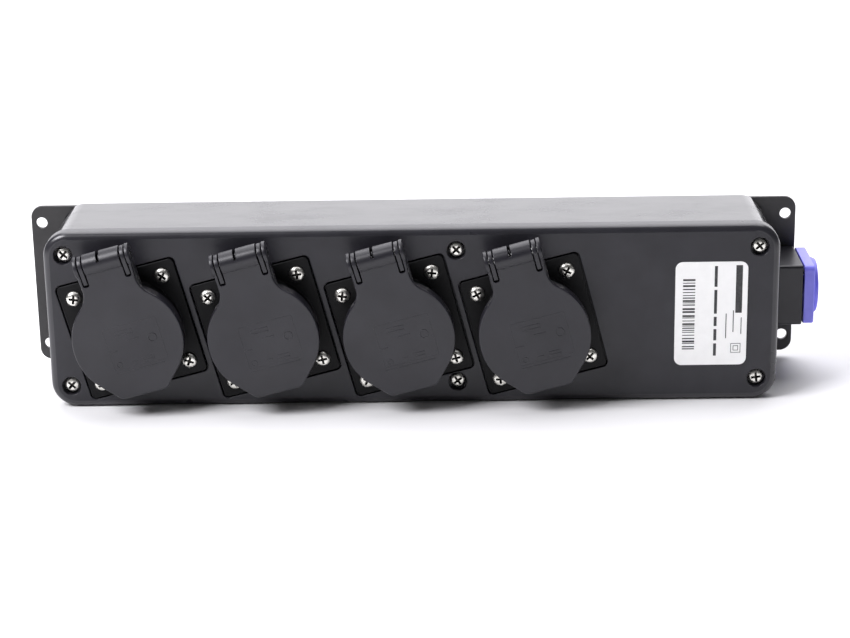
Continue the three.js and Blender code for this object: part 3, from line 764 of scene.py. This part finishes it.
def socket_shell():
    shell = Solid()
    front, back, floor, rear = FLANGE["front"], FLANGE["back"], WELL["floor"], REAR["back"]
    collar, well = circle(COLLAR["radius"], count=72), circle(WELL["radius"], count=72)
    square = rounded_rect(FLANGE["side"], FLANGE["side"], FLANGE["radius"])
    flange = shell.loft(side(square, front, back, LIP))
    bored = [shell.loft(side(bore, front, back, SMALL, 0, True)) for bore in corner_holes(FLANGE_BORE, 20)]
    lip = side(collar, COLLAR["front"], front - COLLAR["fillet"], LIP)
    top, base = shell.loft(lip[:-1] + collar_fillet(collar))
    shell.fill(flange[0], base, *[ends[0] for ends in bored])
    wall = side(well, COLLAR["front"], floor - WELL["edge"], LIP, 0, True)
    inside = shell.loft(wall + [(well(0.25), floor - 0.25), (well(WELL["edge"]), floor)])
    shell.fill(top, inside[0])
    drilled = [shell.loft(side(hole, floor, rear, edge, 0, True)) for hole, edge in well_floor_holes()]
    shell.fill(inside[1], *[ends[0] for ends in drilled])
    behind = shell.loft(side(circle(REAR["radius"], count=72), back, rear, 0, ROUND))
    shell.fill(flange[1], behind[0], *[ends[1] for ends in bored])
    shell.fill(behind[1], *[ends[1] for ends in drilled])
    near, far = WELL["radius"] - GUIDE["reach"], WELL["radius"] + GUIDE["root"]
    for way in (-1, 1):
        shell.add_bmesh(prism(ear_outline(), *ranged(way, EAR["inner"], EAR["outer"]), SOFT))
        shell.add_bmesh(block(ranged(way, near, far), (GUIDE["front"], floor + 0.5),
                              (-GUIDE["half"], GUIDE["half"]), FULL))
    return shell


def socket_gasket():
    length, gap = FLANGE["side"] - 1, 0.3
    outline, holes = rounded_rect(length, length, FLANGE["radius"]), socket_openings()
    return Solid().plate(outline, FLANGE["back"] + gap, RECESS["depth"] - gap, FINE, FINE, holes, FINE)


def thumb_edge(radius, inset, steps):
    """The lid's lower half: a straight thumb edge between two flanks that touch a lowered disc."""
    turn, x, z = THUMB_EDGE["radius"] - inset, THUMB_EDGE["x"], THUMB_EDGE["radius"] - THUMB_EDGE["low"]
    centre = (0, -LID["drop"])
    across = z + LID["drop"]
    flank = degrees(atan2(across, x) + acos((radius - turn) / hypot(x, across)))
    left = arc(centre, radius, 180, 180 - flank, steps) + arc((-x, z), turn, 180 - flank, 270, steps // 2)
    right = arc((x, z), turn, 270, 360 + flank, steps // 2) + arc(centre, radius, 360 + flank, 360, steps)
    return left + right


def lid_outline(inset=0.0):
    """The lid's face: a disc with a thumb edge, a neck with shoulders, and a slot beside each cheek."""
    radius, fillet = LID["radius"] - inset, NECK["fillet"] + inset
    slot_inset = min(inset, TIGHT)
    centre_x = NECK["half"] + NECK["fillet"]
    centre_z = sqrt((LID["radius"] + NECK["fillet"]) ** 2 - centre_x ** 2)
    shoulder = degrees(atan2(centre_z, centre_x))
    outer, inner = LID_SLOT["outer"], LID_SLOT["inner"]
    turn = (outer - inner) / 2 * 0.7  # the slot's lower corners are rounded
    top = HINGE["z"]
    right = arc((0, 0), radius, 0, shoulder, 12)
    right += arc((centre_x, centre_z), fillet, 180 + shoulder, 180, 8)
    right += [(CHEEK["outer"] - inset, top), (outer + slot_inset, top)]
    low = LID_SLOT["low"] + turn
    right += arc((outer - turn, low), turn + slot_inset, 0, -90, 6)
    right += arc((inner + turn, low), turn + slot_inset, -90, -180, 6)
    right += [(inner - slot_inset, top)]
    left = [(-x, z) for x, z in right[::-1]]
    return right + left + thumb_edge(radius, inset, 24)


def skirt_outline(shrink):
    """The lid's outline without its neck, smaller all round."""
    def outline(inset=0.0):
        radius = LID["radius"] - shrink - inset
        return arc((0, 0), radius, 0, 180, 48) + thumb_edge(radius, shrink + inset, 24)
    return outline


def tube_ends(tube, outside, inside):
    """Closes both ends of a tube with flat rings."""
    for outer, inner in zip(outside, inside):
        tube.fill(outer, inner)


def barrel(lid):
    """The centre knuckle, with a narrow notch into its spring cavity, and a cheek on each side."""
    middle = (HINGE["depth"], HINGE["z"])
    full = circle(HINGE["barrel"], middle, 64)
    bore, cavity = circle(HINGE["bore"], middle, 64)(), circle(BARREL["cavity"], middle, 64)()
    half, hollow = BARREL["half"], BARREL["cavity_half"]
    centre = Solid("x")
    outside = centre.loft(side(full, -half, half, SOFT, SOFT))
    inside = centre.loft([(bore, -half), (bore, -hollow), (cavity, -hollow),
                          (cavity, hollow), (bore, hollow), (bore, half)])
    tube_ends(centre, outside, inside)
    reach = HINGE["barrel"] + 2
    depth, z = (middle[0] - reach, middle[0] + NOTCH["back"]), (middle[1] + NOTCH["low"], middle[1] + reach)
    tool = Solid().add_bmesh(block((NOTCH["start"], NOTCH["end"]), depth, z, 0))
    lid.add(carved("centre_knuckle", centre, tool))
    for way in (1, -1):
        start, end = ranged(way, CHEEK["inner"], CHEEK["outer"])
        knuckle = Solid("x")
        tube_ends(knuckle, knuckle.loft(side(full, start, end, SOFT, SOFT)),
                  knuckle.loft([(bore, start), (bore, end)]))
        lid.add(knuckle)


# The marks: plain shapes at (x, z) of the lid's middle, in millimetres.
MARK_FIELD = {"spot": (2.5, -2.2), "width": 23, "height": 18.5, "line": 0.7, "rise": 0.07}
MARK_RINGS = (((10.3, -1.2), 1.9), ((-6.2, -9.2), 1.3))
MARK_BARS = (((-0.6, 4.4), 7.5, 0.9), ((-0.6, 2.9), 7.5, 0.5), ((2.2, 0.2), 5.2, 0.7),
             ((-7.2, -3.2), 3.6, 0.6), ((0.2, -9.2), 2.4, 0.6), ((6.2, -8.4), 5, 0.6),
             ((6.2, -9.8), 5, 0.6), ((1.5, -12.6), 21, 0.45))
MARK_RISE = {"ring": 0.16, "bar": 0.14}


def raised(lid, outline, rise, holes=()):
    """A low moulded shape on the lid's face."""
    edge = rise * 0.4
    lid.add(Solid().plate(outline, LID["front"] - rise, LID["front"] + 0.2, edge, 0, holes, edge))


def moulded_marks(lid):
    """Faint generic relief on the lid's face: a framed field, plain bars, rings and a rule."""
    spot, width, height, line = (MARK_FIELD[key] for key in ("spot", "width", "height", "line"))
    raised(lid, rounded_rect(width, height, 1, spot, 4), MARK_FIELD["rise"],
           [rounded_rect(width - line, height - line, line, spot, 4)])
    for spot, radius in MARK_RINGS:
        raised(lid, circle(radius, spot, 32), MARK_RISE["ring"], [circle(radius - 0.4, spot, 32)])
    for spot, width, height in MARK_BARS:
        raised(lid, rounded_rect(width, height, height * 0.3, spot, 3), MARK_RISE["bar"])


def lid_shell():
    lid = Solid().rod(side(lid_outline, LID["front"], LID["inside"], LID["edge"], SMALL))
    root = LID["inside"] - 0.4  # the skirt and the neck's walls start inside the lid's face
    outer, inner = skirt_outline(0.06), skirt_outline(LID["wall"])
    lid.add(Solid().plate(outer, root, LID["skirt"], 0, SOFT, [inner], 0))
    for way in (-1, 1):
        lid.add_bmesh(block(ranged(way, CHEEK["inner"] + 0.04, CHEEK["outer"] - 0.06), (root, LID["skirt"]),
                            (NECK["wall_low"], NECK["wall_high"]), SMALL))
    barrel(lid)
    moulded_marks(lid)
    return lid


def lid_seal():
    """A ring of soft rubber with a raised bead."""
    seal = Solid()
    middle, half = (SEAL["inner"] + SEAL["outer"]) / 2, (SEAL["outer"] - SEAL["inner"]) / 2
    depth, deep = (SEAL["front"] + SEAL["back"]) / 2, (SEAL["back"] - SEAL["front"]) / 2
    sections = []
    for i in range(16):
        angle = 2 * pi * i / 16
        flat = abs(cos(angle)) ** 0.6 * (1 if cos(angle) >= 0 else -1)
        tall = abs(sin(angle)) ** 0.6 * (1 if sin(angle) >= 0 else -1)
        sections.append((circle(middle + half * flat, count=64)(), depth + deep * tall))
    first, last = seal.loft(sections)
    seal.bridge(last, first)
    return seal


def hinge_pin():
    end = CHEEK["outer"] - 0.3
    outline = circle(HINGE["pin"], (HINGE["depth"], HINGE["z"]), 32)
    return Solid("x").rod(side(outline, -end, end, SOFT, SOFT))


def wire_tube(points, radius, count=10):
    """A round wire through points, with rings square to its path."""
    tube = Solid()
    side_way, rings = None, []
    for i, here in enumerate(points):
        ahead = (points[min(i + 1, len(points) - 1)] - points[max(i - 1, 0)]).normalized()
        if side_way is None:
            side_way = ahead.orthogonal()
        side_way = (side_way - ahead * side_way.dot(ahead)).normalized()
        up_way = ahead.cross(side_way)
        start = len(tube.points)
        for j in range(count):
            angle = 2 * pi * j / count
            tube.points.append(tuple(here + (side_way * cos(angle) + up_way * sin(angle)) * radius))
        rings.append(list(range(start, start + count)))
    for one, two in zip(rings, rings[1:]):
        tube.bridge(one, two)
    for ring in (rings[0], rings[-1]):
        tube.faces.append(tuple(ring))
    return tube


def lid_spring():
    """The torsion spring round the pin."""
    points, radius, half = [], SPRING["radius"], SPRING["half"]
    steps = SPRING["turns"] * SPRING["steps"]
    for i in range(steps + 1):
        angle = 2 * pi * i / SPRING["steps"]
        depth, z = HINGE["depth"] + radius * cos(angle), HINGE["z"] + radius * sin(angle)
        points.append(Vector((-half + 2 * half * i / steps, depth, z)))
    return wire_tube(points, SPRING["wire"])


def sockets():
    shell, gasket, lid = socket_shell(), socket_gasket(), lid_shell()
    seal, pin, spring = lid_seal(), hinge_pin(), lid_spring()
    dice = random.Random(3)
    for number in NUMBERS:
        place, moving = socket_placement(number), f"lid_body_{number}"
        upright = place.inverted()

        def on_ear(point):
            """True on the ears that carry the pin, which have the lid's paler finish."""
            spot = upright @ point
            return spot.z > EAR_POST["step"] - 0.5 and spot.y < FLANGE["front"] - 0.6

        body, node = f"socket_shell_{number}", f"socket_body_{number}"
        second_material(piece(body, shell, "socket", [node], place), "lid", on_ear)
        piece(f"socket_seal_{number}", gasket, "rubber", [f"socket_gasket_{number}"], place)
        piece(f"lid_shell_{number}", lid, "lid", [f"lid_{number}"], place, moving)
        piece(f"lid_ring_{number}", seal, "rubber", [f"lid_seal_{number}"], place, moving)
        # The coil's dark steel is painted shade in the hinge notch.
        piece(f"lid_coil_{number}", spring, "spring", [f"lid_spring_{number}"], place, moving)
        piece(f"hinge_pin_{number}", pin, "steel", [f"lid_hinge_pin_{number}"], place)
        for i, spot in enumerate(corner_spots(FLANGE_BORE), 1):
            put_screw(f"socket_{number}_fastener_{i}", "flange", place, spot, FLANGE["front"] - HEAD_SUNK,
                      dice.uniform(0, 90), [f"socket_{number}_screw_{i}"])


def cover_screws():
    dice = random.Random(11)
    for i, spot in enumerate(COVER_SCREW_SPOTS, 1):
        put_screw(f"cover_fastener_{i}", "cover", ON_COVER, spot, SCREW_POCKET["depth"] - HEAD_SUNK,
                  dice.uniform(0, 90), [f"cover_screw_{i}"])


# ---- Inlet ----
def inlet_circle(radius, count=72):
    return circle(radius, (INLET["depth"], 0), count)


def inlet_block():
    front, back, bore = INLET["block_front"], INLET["block_back"], inlet_circle(INLET_REAR["bore"], 64)
    middle = ((front + back) / 2, 0)
    outline = rounded_rect(back - front, 2 * INLET["block_half"], INLET["block_radius"], middle)
    solid = Solid("x").plate(outline, INLET["block_start"], INLET["block_end"], SOFT, ROUND, [bore], SOFT)
    piece("inlet_base_block", solid, "cover", ["inlet_block"])


def round_inlet(strip, start, end, turn):
    """A bar along the inlet, at its place on the way round the centre."""
    bar = block((start, end), (strip["near"], strip["far"]), (-strip["half"], strip["half"]), strip["edge"])
    matrix = Matrix.Rotation(radians(turn), 3, "X")
    bmesh.ops.rotate(bar, verts=bar.verts, cent=(0, 0, 0), matrix=matrix)
    bmesh.ops.translate(bar, verts=bar.verts, vec=(0, INLET["depth"], 0))
    return bar


def inlet_bolt_holes(shell, start, end):
    """A bore and a pocket for each of the two screws; returns each one's ends."""
    seat, ends = end - INLET_BOLT["pocket"], []
    for way in (-1, 1):
        spot = (INLET["depth"] + way * INLET_BOLT["depth"], -way * INLET_BOLT["z"])
        bore = circle(INLET_BOLT["bore"], spot, 24)
        through = shell.loft([(bore(), start), (bore(), seat)])
        pocket = shell.loft(side(circle(INLET_BOLT["pocket_radius"], spot, 32), seat, end, 0, TIGHT, True))
        shell.fill(pocket[0], through[1])
        ends.append((through[0], pocket[1]))
    return ends


def inlet_shell():
    shell = Solid("x")
    start, end, floor = INLET_FLANGE["start"], INLET_FLANGE["end"], INLET_COLLAR["floor"]
    depth, height, radius = INLET_FLANGE["depth"], INLET_FLANGE["height"], INLET_FLANGE["radius"]
    flange = rounded_rect(depth, height, radius, (INLET["depth"], 0))
    outer = shell.loft(side(flange, start, end, SOFT, ROUND))
    holes = inlet_bolt_holes(shell, start, end)
    collar = inlet_circle(INLET_COLLAR["radius"])
    ridge = inlet_circle(INLET_COLLAR["radius"] - INLET_COLLAR["step"])
    steps = [(collar(), end), (collar(), end + 0.8), (ridge(), end + 1.1)]
    standing = shell.loft(steps + side(ridge, end + 1.2, INLET_COLLAR["end"], 0, ROUND)[1:])
    shell.fill(outer[1], standing[0], *[hole[1] for hole in holes])
    mouth = inlet_circle(INLET_COLLAR["mouth"])
    inside = shell.loft(side(mouth, floor, INLET_COLLAR["end"], 0, ROUND, True))
    shell.fill(standing[1], inside[1])
    wire = inlet_circle(INLET_REAR["wire"], 48)
    passage = shell.loft([(wire(), INLET_REAR["start"]), (wire(), floor)])
    shell.fill(inside[0], passage[1])
    rear = inlet_circle(INLET_REAR["radius"])
    tail = shell.loft(side(rear, INLET_REAR["start"], start, 0.5, 0))
    shell.fill(tail[0], passage[0])
    shell.fill(outer[0], tail[1], *[hole[0] for hole in holes])
    for turn in INLET_RIB["turns"]:  # the ribs that key the connector
        shell.add_bmesh(round_inlet(INLET_RIB, INLET_RIB["start"], INLET_COLLAR["end"] - 1.2, turn))
    piece("inlet_collar_shell", shell, "inlet", ["inlet_shell"])


def fluted_column(inset=0.0):
    """The central column's outline, with three shallow flutes for the contacts."""
    points = []
    for i, (depth, z) in enumerate(inlet_circle(INSERT["radius"], 60)(inset)):
        scale = INSERT["flute"] if i % 20 in (4, 5, 6) else 1
        points.append((INLET["depth"] + (depth - INLET["depth"]) * scale, z * scale))
    return points


def inlet_insert():
    insert = Solid("x")
    base_end, end = INSERT["base_end"], INSERT["end"]
    insert.rod(side(inlet_circle(INSERT["base"], 64), INSERT["base_start"], base_end, SMALL, FULL))
    insert.rod(side(fluted_column, base_end - 0.3, end, 0, 0.5))
    piece("inlet_core", insert, "socket", ["inlet_insert"])
    for i, turn in enumerate(INLET_CONTACT["turns"], 1):
        contact = Solid().add_bmesh(round_inlet(INLET_CONTACT, base_end, end - 1.5, turn))
        piece(f"inlet_contact_{i}", contact, "brass")


def inlet_screws():
    facing_end = placement((0, FACE, 0), (0, 0, 1), (-1, 0, 0), (0, -1, 0))
    seat = INLET_FLANGE["end"] - INLET_BOLT["pocket"]
    for i, way in enumerate((-1, 1), 1):
        spot = (-way * INLET_BOLT["z"], -INLET["depth"] - way * INLET_BOLT["depth"])
        put_screw(f"inlet_fastener_{i}", "inlet", facing_end, spot, -seat - HEAD_SUNK,
                  20 + 35 * i, [f"inlet_screw_{i}"])


# ---- Stage ----
FLOOR = {"half": 14, "far": 7, "bend": 3, "top": 9, "steps": 12, "gap": 0.0002}  # metres
SOFTBOXES = (  # name, place, aim, size, power
    ("key_softbox", (-0.72, -0.5, 0.8), (0, -0.05, 0), (0.6, 0.5), 15),
    ("top_softbox", (0.05, 0.5, 1.3), (0, 0.05, 0), (1.7, 1.4), 26),
    ("back_softbox", (0.0, 1.75, 0.75), (0, 0, 0.03), (3.2, 1.7), 27),
)
CAMERA = {"place": (0.01813, -0.94359, 0.29119), "right": (0.9998, 0.0091, -0.0161),
          "ahead": (-0.0137, 0.9499, -0.3123), "lens": 96.3, "sensor": 36, "near": 0.01, "far": 60}


def floor():
    """A pale floor that rises smoothly into a backdrop far behind."""
    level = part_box("front_cover")[0].z - FLOOR["gap"]
    half, far, bend = FLOOR["half"], FLOOR["far"], FLOOR["bend"]
    profile = [(-half, level), (far - bend, level)]
    for i in range(1, FLOOR["steps"] + 1):
        angle = pi / 2 * i / FLOOR["steps"]
        profile.append((far - bend + bend * sin(angle), level + bend * (1 - cos(angle))))
    profile.append((far, level + FLOOR["top"]))
    mesh = bpy.data.meshes.new("floor")
    points = [(x, y, z) for y, z in profile for x in (-half, half)]
    faces = [(2 * i, 2 * i + 1, 2 * i + 3, 2 * i + 2) for i in range(len(profile) - 1)]
    mesh.from_pydata(points, [], faces)
    mesh.polygons.foreach_set("use_smooth", [True] * len(mesh.polygons))
    mesh.materials.append(Nodes("pale_floor", Base_Color=(0.9, 0.9, 0.9, 1), Roughness=0.85).material)
    linked("floor", mesh)


def softbox(name, place, aim, size, power):
    data = bpy.data.lights.new(name, "AREA")
    data.color = (0.97, 0.96, 1.0)
    data.shape, data.size, data.size_y, data.energy = "RECTANGLE", size[0], size[1], power
    made = linked(name, data)
    made.location = place
    made.rotation_euler = (Vector(aim) - Vector(place)).to_track_quat("-Z", "Y").to_euler()


def lights():
    world = bpy.data.worlds.new("studio")
    world.use_nodes = True
    sky = world.node_tree.nodes["Background"].inputs
    sky["Color"].default_value = (1, 1, 1, 1)
    sky["Strength"].default_value = 0.1
    bpy.context.scene.world = world
    for settings in SOFTBOXES:
        softbox(*settings)
    bpy.context.scene.view_settings.view_transform = "Standard"


def camera():
    data = bpy.data.cameras.new("camera")
    data.lens, data.sensor_width = CAMERA["lens"], CAMERA["sensor"]
    data.clip_start, data.clip_end = CAMERA["near"], CAMERA["far"]
    made = linked("camera", data)
    right = Vector(CAMERA["right"])
    ahead = Vector(CAMERA["ahead"]).normalized()
    right = (right - ahead * right.dot(ahead)).normalized()
    up = right.cross(ahead)
    turn = Matrix((right, up, -ahead)).transposed().to_4x4()
    made.matrix_world = Matrix.Translation(CAMERA["place"]) @ turn
    bpy.context.scene.camera = made


# ---- Scene ----
camera()
lights()
floor()
front_cover()
rear_housing()
housing_foot()
mounting_plate()
cover_gasket()
label()
cover_screws()
sockets()
inlet_block()
inlet_shell()
inlet_insert()
inlet_screws()

for node in ("line_wiring", "neutral_wiring", "earth_wiring"):  # the contacts show in the open wells
    shown = frame["nodes"][node]
    shown.data.materials.clear()
    shown.data.materials.append(MATERIALS["brass"])
